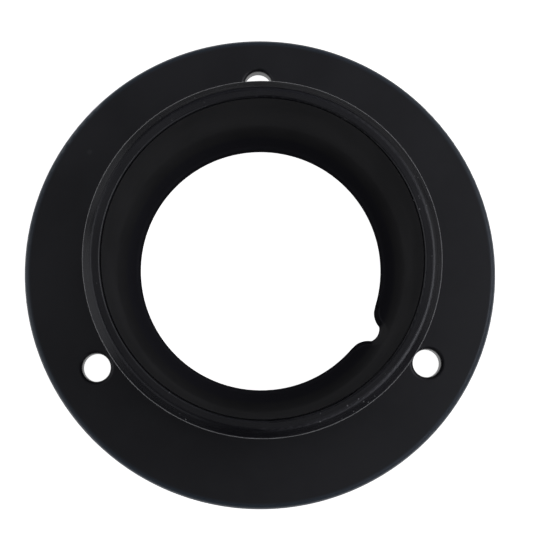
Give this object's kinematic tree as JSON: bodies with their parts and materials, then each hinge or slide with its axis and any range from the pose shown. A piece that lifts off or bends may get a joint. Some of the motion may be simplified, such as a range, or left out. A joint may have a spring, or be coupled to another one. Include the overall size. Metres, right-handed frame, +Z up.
{
  "type": "food waste disposer mounting collar",
  "caption": "Black flanged mounting collar of a sink food waste disposer: bolt-down flange, bevelled clamp lip and rubber-lined throat with a key notch.",
  "frame": {"origin": "centre of the gasket's underside, the face that the collar stands on", "axes": "+Z up along the throat's axis, from the bolted flange to the clamp lip; +Y through the middle of one bolt hole; the key notch is at 330 degrees about +Z, in line with another"},
  "size_m": [0.1786, 0.1786, 0.053],
  "materials": {
    "anodised_flange": "satin black anodised",
    "anodised_collar": "satin black anodised, finely turned",
    "moulded_rubber": "smooth moulded black rubber",
    "seal_rubber": "black seal rubber",
    "gasket_rubber": "matt black sheet rubber",
    "zinc_steel": "bright zinc plated",
    "spring_steel": "dark phosphated spring steel"
  },
  "bodies": {
    "root": {"mounting_flange": "anodised_flange", "clamp_collar": "anodised_collar", "throat_liner": "moulded_rubber", "liner_core_ring": "zinc_steel", "liner_retaining_ring": "spring_steel", "collar_screws": "zinc_steel", "collar_o_ring": "seal_rubber", "flange_gasket": "gasket_rubber"}
  },
  "joints": []
}
